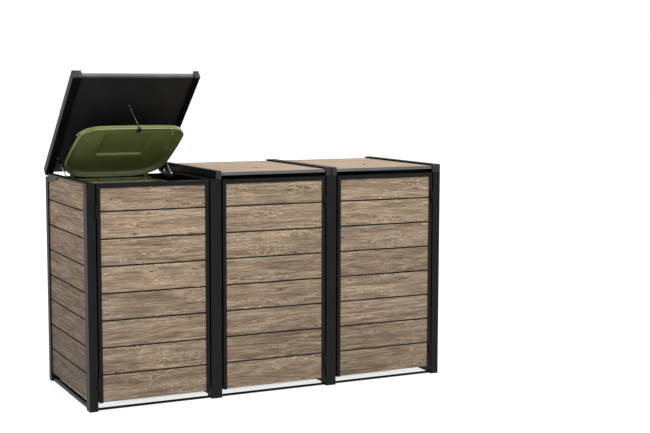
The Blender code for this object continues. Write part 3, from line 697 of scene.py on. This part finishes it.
def make_lid_hinge(bay, hand, rail, pivot, rail_bottom, turned):
    """Two moving knuckles under a lid rail, either side of the post's, and their pin."""
    shape = bmesh.new()
    centre = (rail[0] + rail[1]) / 2
    gap, margin, radius = 0.005, 0.001, 0.006
    for inner, outer in ((centre - gap, rail[0] + margin), (centre + gap, rail[1] - margin)):
        left, right = min(inner, outer), max(inner, outer)
        pin(shape, on_axis(pivot, left), on_axis(pivot, right), radius)
        block(
            shape,
            (left + 0.0005, pivot.y - 0.0055, pivot.z - 0.001),
            (right - 0.0005, pivot.y + 0.0055, rail_bottom + 0.003),
            0.0006,
        )
    pin(shape, on_axis(pivot, rail[0] + 0.0002), on_axis(pivot, rail[1] - 0.0002), 0.0025, look=1)
    finished(
        shape, f"lid_{bay}_hinge_{hand}", (BLACK, ZINC), f"lid_{bay}", matrix=turned
    )


def strut_line(bay, hand):
    """A strut's lower pivot, its direction and the distance to its upper pivot, at rest."""
    low = Vector(JOINTS[f"strut_{bay}_{hand}_swing"]["pos_m"])
    axis = Vector(JOINTS[f"strut_{bay}_{hand}_stroke"]["axis"]).normalized()
    end_radius = 0.0065
    tube = frame["nodes"][f"strut_cylinder_{bay}_{hand}"].data
    reach = max((vert.co - low).dot(axis) for vert in tube.vertices) - end_radius
    return low, axis, reach


def make_lid_stud(bay, hand, outward, rail, turned):
    """The ball stud on a lid rail that the strut's upper end hangs on."""
    low, axis, reach = strut_line(bay, hand)
    upper = turned.inverted() @ (low + axis * reach)
    face = rail[1] if outward < 0 else rail[0]
    start = Vector((face + outward * 0.004, upper.y, upper.z))
    inward = -X * outward
    length = (upper.x - start.x) * -outward
    shape = bmesh.new()
    profile = [(0.0058, 0.0), (0.0058, 0.0062), (0.0052, 0.0068), (STUD_RADIUS * 0.7, 0.0068)]
    profile += [(STUD_RADIUS * 0.7, length - 0.0036)]
    for step in range(7):
        angle = math.radians(-60 + 150 * step / 6)
        profile.append((STUD_RADIUS * max(math.cos(angle), 0.06), length + STUD_RADIUS * math.sin(angle)))
    turn(shape, profile, start, inward, 24)
    finished(shape, f"lid_{bay}_stud_{hand}", (ZINC,), f"lid_{bay}", matrix=turned)


def make_link_eye(bay, turned):
    """The eye under a lid for a bin's link, its plate and its bolt head on top."""
    panel_low, panel_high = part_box("lid_panel_2")
    own_low, own_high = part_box(f"lid_panel_{bay}")
    centre_x = (own_low.x + own_high.x) / 2
    eye = turned_back_link_top()
    eye.x = centre_x
    underside = panel_high.z - 0.018
    shape = bmesh.new()
    plate_low = (eye.x - 0.013, eye.y - 0.0055, underside - 0.0016)
    block(shape, plate_low, (eye.x + 0.013, eye.y + 0.013, underside + 0.0005), 0.0006)
    for side in (-1, 1):
        plate = rounded((eye.y - 0.006, panel_low.z), (eye.y + 0.006, underside + 0.001), 0.0045, 5)
        prism(shape, plate, Vector((eye.x + side * 0.007 - 0.0013, 0, 0)), Y, Z, X * 0.0026)
    pin(shape, eye - X * 0.0095, eye + X * 0.0095, 0.0018, 0.0004, look=1)
    finished(shape, f"lid_{bay}_link_eye", (BLACK, ZINC), f"lid_{bay}", matrix=turned)
    shape = bmesh.new()
    top = Vector((eye.x, eye.y + 0.012, panel_high.z))
    dome = [(BOLT_HEAD, -0.001), (BOLT_HEAD, 0.0006), (BOLT_HEAD - 0.0015, 0.0022)]
    dome += [(0.0035, 0.0026), (0.003, 0.001)]
    turn(shape, dome, top, Z, 28)
    finished(shape, f"lid_{bay}_bolt_head", (BLACK,), f"lid_{bay}", matrix=turned)


def turned_back_link_top():
    """The link's upper pivot with the left lid shut."""
    return opened("lid_1_hinge").inverted() @ Vector(JOINTS["lid_link_swing"]["pos_m"])


def make_struts():
    """Gas struts: a chromed rod in a black tube, each with a ball socket at its end."""
    for bay in BAYS:
        for hand, _ in HANDS:
            low, axis, reach = strut_line(bay, hand)
            node = frame["nodes"][f"strut_cylinder_{bay}_{hand}"].data
            mouth = min((vert.co - low).dot(axis) for vert in node.vertices)
            rod = frame["nodes"][f"strut_rod_{bay}_{hand}"].data
            tip = max((vert.co - low).dot(axis) for vert in rod.vertices)
            outer, bore, end = 0.0054, 0.0033, reach - 0.0125
            pushed_in = min(JOINTS[f"strut_{bay}_{hand}_stroke"]["range_m"][0], 0.0)
            tip = min(tip, end + pushed_in) - 0.0008
            shape = bmesh.new()
            socket(shape, low, axis, look=1)
            pin(shape, low + axis * 0.006, low + axis * tip, 0.0029, 0.0004, look=0)
            finished(
                shape, f"strut_{bay}_{hand}_rod", (CHROME, ZINC), f"strut_rod_{bay}_{hand}",
                (f"strut_rod_{bay}_{hand}",),
            )
            shape = bmesh.new()
            profile = [(bore, mouth + 0.0006), (0.004, mouth), (0.0047, mouth + 0.0006)]
            profile += [(0.0047, mouth + 0.004), (outer, mouth + 0.0055), (outer, reach - 0.013)]
            profile += [(0.0045, reach - 0.011), (0.0035, reach - 0.01), (0.0035, reach - 0.006)]
            profile += [(0.0, reach - 0.006), (0.0, end), (bore, end)]
            profile = [(max(radius, 0.00005), distance) for radius, distance in profile]
            turn(shape, profile, low, axis, 24, closed=True)
            socket(shape, low + axis * reach, -axis, look=1)
            finished(
                shape, f"strut_{bay}_{hand}_tube", (ENAMEL, HUB_PLASTIC), f"strut_cylinder_{bay}_{hand}",
                (f"strut_cylinder_{bay}_{hand}",),
            )


def socket(shape, centre, toward, look):
    """A ball socket lying across X, with a neck toward the strut."""
    half = 0.0044
    profile = [(0.0048, -half), (0.0062, -half + 0.0012), (0.0062, half - 0.0012), (0.0048, half)]
    turn(shape, profile, centre, X, 24, look=look)
    turn(shape, [(0.0044, 0.003), (0.0044, 0.0105), (0.0036, 0.0125)], centre, toward, 20, look=look)


def make_link():
    """The wire from the lid's eye to the clip on the bin's lid, with its ferrule and end."""
    top = Vector(JOINTS["lid_link_swing"]["pos_m"])
    low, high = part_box("lid_link")
    end = Vector((high.x - LINK_BALL, low.y + LINK_BALL, low.z + LINK_BALL))
    along = (end - top).normalized()
    length = (end - top).length
    shape = bmesh.new()
    strands, lay, radius = 5, 0.01, 0.0009
    side, other = across_from(along)
    for strand in range(strands):
        path = []
        steps = 90
        for step in range(steps + 1):
            distance = 0.006 + (length - 0.01) * step / steps
            angle = 2 * math.pi * (strand / strands + distance / lay)
            spoke = side * math.cos(angle) + other * math.sin(angle)
            path.append(top + along * distance + spoke * radius * 1.25)
        sweep(shape, path, radius, 6)
    loop = [(0.0036, -0.0016), (0.004, 0.0), (0.0036, 0.0016), (0.0024, 0.0016), (0.0024, -0.0016)]
    turn(shape, loop, top, X, 20, True, 1)
    sleeve = [(0.0016, 0.003), (0.0028, 0.01), (0.004, 0.014)]
    sleeve += [(0.004, 0.036), (0.003, 0.04), (0.0016, 0.041)]
    turn(shape, sleeve, top, along, 20, look=1)
    clip = [(0.0012, -0.014), (0.0022, -0.012), (0.0022, -0.002)]
    clip += [(0.0026, 0.0), (0.002, 0.0024), (0.0008, 0.0028)]
    turn(shape, clip, end, along, 20, look=1)
    finished(shape, "link_wire", (ZINC, ZINC), "lid_link", ("lid_link",))


def make_door_fittings():
    """Each door's latch, near-black with painted shade, and its hinge pins."""
    for bay in BAYS:
        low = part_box(f"door_panel_{bay}")[0]
        frame_low, frame_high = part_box(f"door_frame_{bay}")
        shape = bmesh.new()
        latch = Vector((low.x + LATCH_IN, frame_low.y, frame_high.z))
        latch_low, latch_high = Vector((-0.007, 0.0005, -0.0018)), Vector((0.007, 0.013, 0.0014))
        # The latch is real; its near-black colour is painted shade for its dark slot.
        block(shape, latch + latch_low, latch + latch_high, 0.0006)
        finished(shape, f"door_{bay}_latch", (SHADE_BLACK,), f"door_{bay}")
        for level in ("lower", "upper"):
            barrel_low, barrel_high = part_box(f"door_hinge_{bay}_{level}")
            centre = Vector(JOINTS[f"door_{bay}_hinge"]["pos_m"])
            height = barrel_high.z - barrel_low.z
            at = Vector((centre.x, centre.y, barrel_high.z))
            shape = bmesh.new()
            dome = [(0.0046, height + 0.001)]
            for step in range(5):
                angle = math.radians(18 * step)
                dome.append((0.0046 * math.cos(angle) + 0.0001, height + 0.0012 + 0.0022 * math.sin(angle)))
            turn(shape, dome, at, Z, 20)
            finished(shape, f"door_{bay}_hinge_pin_{level}", (BLACK,), f"door_{bay}")


# The bin.


def outline(half, near, far, corners, height, bow=0.0, steps=12, runs=6):
    """A round-cornered rectangle's points: X across, the distance forward along -Y, one height.

    Corners holds the radii at the far and the near edge.
    """
    points = []
    front, rear = corners
    radii = (front, front, rear, rear)
    centres = ((half - front, far - front), (-(half - front), far - front))
    centres += ((-(half - rear), near + rear), (half - rear, near + rear))
    for quarter, ((cx, cy), corner) in enumerate(zip(centres, radii)):
        for step in range(steps + 1):
            angle = math.pi / 2 * (quarter + step / steps)
            points.append((cx + corner * math.cos(angle), cy + corner * math.sin(angle)))
        following, radius = centres[(quarter + 1) % 4], radii[(quarter + 1) % 4]
        angle = math.pi / 2 * (quarter + 1)
        start = points[-1]
        end = (following[0] + radius * math.cos(angle), following[1] + radius * math.sin(angle))
        for run in range(1, runs):
            part = run / runs
            swell = bow * 4 * part * (1 - part)
            points.append(
                (
                    start[0] + (end[0] - start[0]) * part + swell * math.cos(angle),
                    start[1] + (end[1] - start[1]) * part + swell * math.sin(angle),
                )
            )
    return [Vector((x, -y, height)) for x, y in points]


def make_bin_lid():
    """A thin moulded shell: turned-down rim, raised middle, hinge lugs, a corner grip and bosses."""
    pivot = Vector(JOINTS["bin_lid_hinge"]["pos_m"])
    turned = opened("bin_lid_hinge")

    def lifted(points, height):
        """The skirt is deeper toward the hinge, so the top rises that way."""
        share = LID_RISE * min(height / LID_SKIRT, 1.0)
        for point in points:
            point.z += share * (LID_FAR + point.y) / (LID_FAR - LID_NEAR)
        return points

    def edge(inset, height):
        corners = [corner - inset for corner in LID_CORNERS]
        span = LID_HALF - inset, LID_NEAR + inset, LID_FAR - inset
        return lifted(outline(*span, corners, LID_EDGE + height, LID_BOW), height)

    def crown(grow, height):
        half, near, far = CROWN
        corner = max(0.022 + grow, 0.004)
        edge = outline(half + grow, near - grow, far + grow, (corner, corner), LID_EDGE + height)
        return lifted(edge, height)

    outer = [(0.0, 0.0), (0.0, 0.0038), (0.0014, 0.0048), (0.0026, 0.019), (0.004, 0.0226)]
    outer += [(0.0068, 0.0247), (0.0115, 0.0257), (0.03, 0.0262)]
    raised = [(0.03, 0.0264), (0.0075, 0.0266), (0.0032, 0.0275), (0.0012, 0.0298)]
    raised += [(-0.0012, 0.0385), (-0.0028, 0.0404), (-0.0065, 0.0412), (-0.06, 0.0414)]
    rings = [crown(*ring) for ring in reversed(raised)] + [edge(*ring) for ring in reversed(outer)]
    inner_raised = [(grow - LID_WALL * 0.9, height - LID_WALL) for grow, height in raised]
    inner_outer = [(0.034, 0.0232), (0.02, 0.023), (0.012, 0.0224), (0.0076, 0.0206)]
    inner_outer += [(0.0058, 0.018), (0.0046, 0.0048), (0.0032, 0.0006), (0.0016, 0.0)]
    rings += [edge(*ring) for ring in reversed(inner_outer)] + [crown(*ring) for ring in inner_raised]
    shape = bmesh.new()
    skin(shape, [[pivot + point for point in ring] for ring in rings])
    make_lid_lugs(shape, pivot)
    make_lid_grips(shape, pivot)
    make_lid_bosses(shape, pivot)
    finished(shape, "bin_lid_shell", (GREEN,), "bin_lid", ("bin_lid",), turned, 50)
    shape = bmesh.new()
    link_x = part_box("lid_link")[1].x - LINK_BALL
    tab = [(-0.013, -0.0095), (0.013, -0.0095), (0.0035, 0.0078), (-0.0035, 0.0078)]
    at = Vector((link_x, pivot.y - LID_FAR - 0.0105, pivot.z + LID_EDGE))
    prism(shape, tab, at, X, Z, Y * 0.0125)
    block(shape, at + Vector((-0.0105, 0.0045, -0.0088)), at + Vector((0.0105, 0.03, -0.0012)), 0.001)
    finished(shape, "link_clip", (BLACK,), "bin_lid", matrix=turned)


def make_lid_lugs(shape, pivot):
    """Two hinge arms that reach down to the handle's axis."""
    for _, outward in HANDS:
        x = pivot.x + outward * 0.2125
        pin(shape, on_axis(pivot, x - 0.012), on_axis(pivot, x + 0.012), KNUCKLE, 0.001)
        side = [(-0.011, -0.002), (0.009, -0.002), (0.009, 0.008), (-0.004, 0.02), (-0.03, 0.0265)]
        side += [(-0.046, 0.0275), (-0.046, 0.0235), (-0.027, 0.011)]
        prism(shape, side, on_axis(pivot, x - 0.0115), Y, Z, X * 0.023)


def make_lid_grips(shape, pivot):
    """A bar round the left front corner, on two stubs."""
    corner = LID_CORNERS[0]
    centre = pivot + Vector((corner - LID_HALF, corner - LID_FAR, LID_EDGE + 0.013))
    first, last, steps = 10, 58, 12

    def at(degrees, out):
        angle = math.radians(degrees)
        return centre + Vector((-out * math.cos(angle), -out * math.sin(angle), 0))

    reach = corner + 0.0145
    path = [at(first + (last - first) * step / steps, reach) for step in range(steps + 1)]
    sweep(shape, path, 0.002, 10)
    for degrees in (first, last):
        pin(shape, at(degrees, corner - 0.006), at(degrees, reach), 0.002, 0.0004, 12)


def make_lid_bosses(shape, pivot):
    """Small moulded pegs and webs under the front corners."""
    for _, outward in HANDS:
        for across, forward in ((0.21, 0.562), (0.238, 0.548), (0.232, 0.5)):
            at = pivot + Vector((outward * across, -forward, LID_EDGE + 0.024))
            turn(shape, [(0.0086, 0.0), (0.0076, 0.0165), (0.006, 0.0175)], at, -Z, 16)
        block(
            shape,
            pivot + Vector((outward * 0.2195 - 0.0125, -0.55, LID_EDGE + 0.01)),
            pivot + Vector((outward * 0.2195 + 0.0125, -0.5475, LID_EDGE + 0.0215)),
            0.0006,
        )


def bin_size(z):
    """Half width, rear and front of the bin's outside at one height, forward of the hinge."""
    rim = JOINTS["bin_lid_hinge"]["pos_m"][2] - RIM_BELOW_HINGE
    part = (z - BIN_FOOT_Z) / (rim - BIN_FOOT_Z)
    return [a + (b - a) * part for a, b in zip(BIN_FOOT, BIN_HEAD)]


def make_bin_body():
    """The tub with its rim, stiffening ribs, lifting comb, rear handle and wheel lugs."""
    pivot = Vector(JOINTS["bin_lid_hinge"]["pos_m"])
    rim = pivot.z - RIM_BELOW_HINGE

    def ring(z, grow, corner):
        half, near, far = bin_size(z)
        laid = outline(half + grow, near - grow, far + grow, (corner, corner), z)
        return [Vector((pivot.x, pivot.y, 0)) + point for point in laid]

    outer = [(0.001, -0.008, 0.04), (0.002, -0.003, 0.044), (0.008, 0.0, 0.046), (0.3, 0.0, 0.05)]
    outer += [(0.6, 0.0, 0.055), (0.9, 0.0, 0.058), (rim - 0.052, 0.0, 0.06), (rim - 0.05, 0.003, 0.063)]
    outer += [(rim - 0.034, 0.003, 0.063), (rim - 0.031, 0.01, 0.069), (rim - 0.0285, 0.0118, 0.071)]
    outer += [(rim - 0.004, 0.0118, 0.071), (rim - 0.001, 0.01, 0.07), (rim, 0.007, 0.067)]
    inner = [(rim, -0.001, 0.06), (rim - 0.001, -0.0038, 0.058), (rim - 0.004, -BIN_WALL, 0.057)]
    inner += [(0.9, -BIN_WALL, 0.054), (0.3, -BIN_WALL, 0.046), (0.012, -BIN_WALL, 0.042)]
    inner += [(0.0065, -0.012, 0.036)]
    shape = bmesh.new()
    skin(shape, [ring(*r) for r in outer + inner])
    finished(shape, "bin_tub", (GREEN,), "frame", ("bin_body",), angle=50)
    make_bin_handle(pivot)
    make_bin_ribs(pivot, rim)


def make_bin_handle(pivot):
    """The rear handle on four webs, with the hinge knuckles beside it."""
    shape = bmesh.new()
    low = on_axis(pivot, pivot.x - HANDLE_REACH)
    length = 2 * HANDLE_REACH
    profile = [(0.009, 0.0), (KNUCKLE, 0.0018), (KNUCKLE, length - 0.0018), (0.009, length)]
    turn(shape, profile, low, X, 28)
    web = [(0.0, -0.01), (0.0, 0.01), (-0.018, 0.006), (-0.036, -0.002), (-0.047, -0.004), (-0.049, -0.036)]
    web += [(-0.04, -0.036), (-0.02, -0.018)]
    for x in RIBS:
        prism(shape, web, on_axis(pivot, pivot.x + x - 0.0035), Y, Z, X * 0.007)
    for _, outward in HANDS:
        near, far = sorted((outward * (HANDLE_REACH + 0.034), outward * (HANDLE_REACH + 0.044)))
        pin(shape, on_axis(pivot, pivot.x + near), on_axis(pivot, pivot.x + far), KNUCKLE, 0.001)
        arm = [(0.0, -0.011), (0.0, 0.0105), (-0.018, 0.0055), (-0.036, -0.002), (-0.058, -0.003)]
        arm += [(-0.062, -0.032), (-0.046, -0.032), (-0.02, -0.018)]
        prism(shape, arm, on_axis(pivot, pivot.x + near + 0.0005), Y, Z, X * (far - near - 0.001))
    finished(shape, "bin_handle", (GREEN,), "frame", angle=50)


def make_bin_ribs(pivot, rim):
    """Comb teeth under the front rim, flutes down the front, and the axle's lugs."""
    shape = bmesh.new()
    front = pivot.y - bin_size(rim - 0.04)[2]
    teeth = 15
    for index in range(teeth):
        x = pivot.x + (index - (teeth - 1) / 2) * 0.0285
        tooth = [(0.003, rim - 0.075), (0.003, rim - 0.03), (-0.0095, rim - 0.03), (-0.0095, rim - 0.036)]
        prism(shape, tooth, Vector((x - 0.0016, front, 0)), Y, Z, X * 0.0032)
    finished(shape, "bin_lifting_comb", (GREEN,), "frame")
    shape = bmesh.new()
    for x in (-0.15, -0.05, 0.05, 0.15):
        rings = []
        for z, proud in ((0.06, 0.0), (0.075, 0.0035), (0.96, 0.0035), (0.985, 0.0)):
            _, _, far = bin_size(z)
            y = pivot.y - far
            rings.append(
                [
                    Vector((pivot.x + x - 0.011, y + 0.002, z)),
                    Vector((pivot.x + x + 0.011, y + 0.002, z)),
                    Vector((pivot.x + x + 0.006, y - proud, z)),
                    Vector((pivot.x + x - 0.006, y - proud, z)),
                ]
            )
        skin(shape, rings)
    finished(shape, "bin_front_flutes", (GREEN,), "frame")
    axle_low, axle_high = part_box("bin_axle")
    axle = (axle_low + axle_high) / 2
    shape = bmesh.new()
    for _, outward in HANDS:
        x = pivot.x + outward * 0.19
        lug = rounded((axle.y - 0.034, axle.z - 0.024), (axle.y + 0.018, axle.z + 0.024), 0.012, 5)
        prism(shape, lug, Vector((x - 0.0145, 0, 0)), Y, Z, X * 0.029)
    finished(shape, "bin_axle_lugs", (GREEN,), "frame")


def make_wheels():
    """A treaded tyre, a spoked hub and a cap on each side, on one steel axle."""
    low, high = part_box("bin_axle")
    middle = (low + high) / 2
    shape = bmesh.new()
    pin(shape, on_axis(middle, low.x), on_axis(middle, high.x), AXLE, 0.0012)
    finished(shape, "bin_axle_bar", (ZINC,), "frame", ("bin_axle",))
    for hand, outward in HANDS:
        centre = Vector(JOINTS[f"wheel_{hand}_spin"]["pos_m"])
        out = X * outward
        shape = bmesh.new()
        section = [(0.08, -0.0205), (0.088, -0.0222), (0.0935, -0.0215), (0.098, -0.0165)]
        section += [(0.0992, -0.008), (0.0996, 0.0), (0.0992, 0.008), (0.098, 0.0165)]
        section += [(0.0935, 0.0215), (0.088, 0.0222), (0.08, 0.0205)]
        section += [(0.079, 0.012), (0.079, -0.012)]
        steps = 120
        side, other = across_from(out)
        rings = []
        for step in range(steps):
            angle = 2 * math.pi * step / steps
            points = []
            for radius, distance in section:
                groove = 0.0022 if radius > 0.0975 and step % 5 == 0 else 0.0
                spoke = side * math.cos(angle) + other * math.sin(angle)
                points.append(centre + out * distance + spoke * (radius - groove))
            rings.append(points)
        skin(shape, rings, closed=True)
        finished(
            shape, f"wheel_{hand}_tyre", (RUBBER,), f"wheel_{hand}", (f"bin_wheel_{hand}",)
        )
        shape = bmesh.new()
        rim = [(0.0795, -0.015), (0.0795, 0.015), (0.074, 0.0175)]
        rim += [(0.0725, 0.016), (0.0725, -0.016), (0.074, -0.0175)]
        turn(shape, rim, centre, out, 60, closed=True)
        hub = [(0.0106, -0.0222), (0.0106, 0.0222), (0.019, 0.0222)]
        hub += [(0.0225, 0.019), (0.0225, -0.019), (0.019, -0.0222)]
        turn(shape, hub, centre, out, 40, closed=True)
        plate = [(0.0215, -0.003), (0.0735, -0.003), (0.0735, 0.003), (0.0215, 0.003)]
        turn(shape, plate, centre, out, 60, closed=True)
        for spoke in range(8):
            angle = 2 * math.pi * spoke / 8
            along = side * math.cos(angle) + other * math.sin(angle)
            square = out.cross(along)
            corners = [(-0.0025, -0.015), (0.0025, -0.015), (0.0025, 0.015), (-0.0025, 0.015)]
            prism(shape, corners, centre + along * 0.0215, square, out, along * 0.052)
        cap = [(0.015, 0.02), (0.015, 0.0218), (0.013, 0.0224), (0.002, 0.0225)]
        turn(shape, cap, centre, out, 32)
        finished(shape, f"wheel_{hand}_hub", (HUB_PLASTIC,), f"wheel_{hand}")


# The studio.


def floor_glow(tree):
    """Light from a lit floor, with none from deep under the store."""
    low, high = CAD_BOX
    margin, soft = 0.2, 0.06
    spots = add(tree, "ShaderNodeSeparateXYZ", {"Vector": place_of(tree)}).outputs
    left = spread(tree, spots["X"], low.x + margin - soft, low.x + margin + soft)
    right = spread(tree, spots["X"], high.x - margin - soft, high.x - margin + soft, 1.0, 0.0)
    front = spread(tree, spots["Y"], low.y + margin - soft, low.y + margin + soft)
    rear = spread(tree, spots["Y"], high.y - margin - soft, high.y - margin + soft, 1.0, 0.0)
    across = calculate(tree, "MULTIPLY", left, right)
    under = calculate(tree, "MULTIPLY", across, calculate(tree, "MULTIPLY", front, rear))
    return calculate(tree, "SUBTRACT", FLOOR_GLOW, calculate(tree, "MULTIPLY", under, FLOOR_GLOW))


def make_studio():
    """A pale floor, soft light all round and a broad key light from the front right."""
    shape = bmesh.new()
    bmesh.ops.create_grid(shape, x_segments=8, y_segments=8, size=60.0)
    mesh = bpy.data.meshes.new("floor")
    shape.to_mesh(mesh)
    shape.free()
    floor = bpy.data.objects.new("floor", mesh)
    floor.location.z = CAD_BOX[0].z - 0.0005
    bpy.context.scene.collection.objects.link(floor)
    made, tree, shader = new_material("pale_floor")
    tones = ramp(tree, noise(tree, place_of(tree), 0.8, 3.0), [(0.3, (0.3,) * 3), (0.7, (0.32,) * 3)])
    tree.links.new(tones, shader.inputs["Base Color"])
    shader.inputs["Emission Color"].default_value = (1.0, 1.0, 1.0, 1.0)
    tree.links.new(floor_glow(tree), shader.inputs["Emission Strength"])
    shader.inputs["Roughness"].default_value = 0.9
    shader.inputs["Specular IOR Level"].default_value = 0.0
    mesh.materials.append(made)

    world = bpy.data.worlds.new("studio")
    bpy.context.scene.world = world
    world.use_nodes = True
    sky = world.node_tree.nodes["Background"]
    sky.inputs["Color"].default_value = (1.0, 1.0, 1.0, 1.0)
    sky.inputs["Strength"].default_value = 1.0

    key = bpy.data.lights.new("key", "SUN")
    key.energy = KEY_STRENGTH
    key.angle = math.radians(50)
    sun = bpy.data.objects.new("key", key)
    sun.rotation_euler = Vector((-0.32, 0.42, -0.85)).to_track_quat("-Z", "Y").to_euler()
    bpy.context.scene.collection.objects.link(sun)

    data = bpy.data.cameras.new("camera")
    data.lens = CAMERA_LENS
    data.sensor_width = 36.0
    camera = bpy.data.objects.new("camera", data)
    forward = Vector(
        (
            math.sin(CAMERA_YAW) * math.cos(CAMERA_PITCH),
            math.cos(CAMERA_YAW) * math.cos(CAMERA_PITCH),
            -math.sin(CAMERA_PITCH),
        )
    )
    level = Vector((math.cos(CAMERA_YAW), -math.sin(CAMERA_YAW), 0))
    above = level.cross(forward)
    right = level * math.cos(CAMERA_ROLL) + above * math.sin(CAMERA_ROLL)
    up = right.cross(forward)
    turned = Matrix((right, up, -forward)).transposed().to_4x4()
    camera.matrix_world = Matrix.Translation(CAMERA_AT) @ turned
    bpy.context.scene.collection.objects.link(camera)
    bpy.context.scene.camera = camera
    bpy.context.scene.view_settings.view_transform = "Standard"


make_studio()
dress_cad_nodes()
make_boards()
for bay in BAYS:
    make_lid_frame(bay)
make_struts()
make_link()
make_door_fittings()
make_bin_lid()
make_bin_body()
make_wheels()
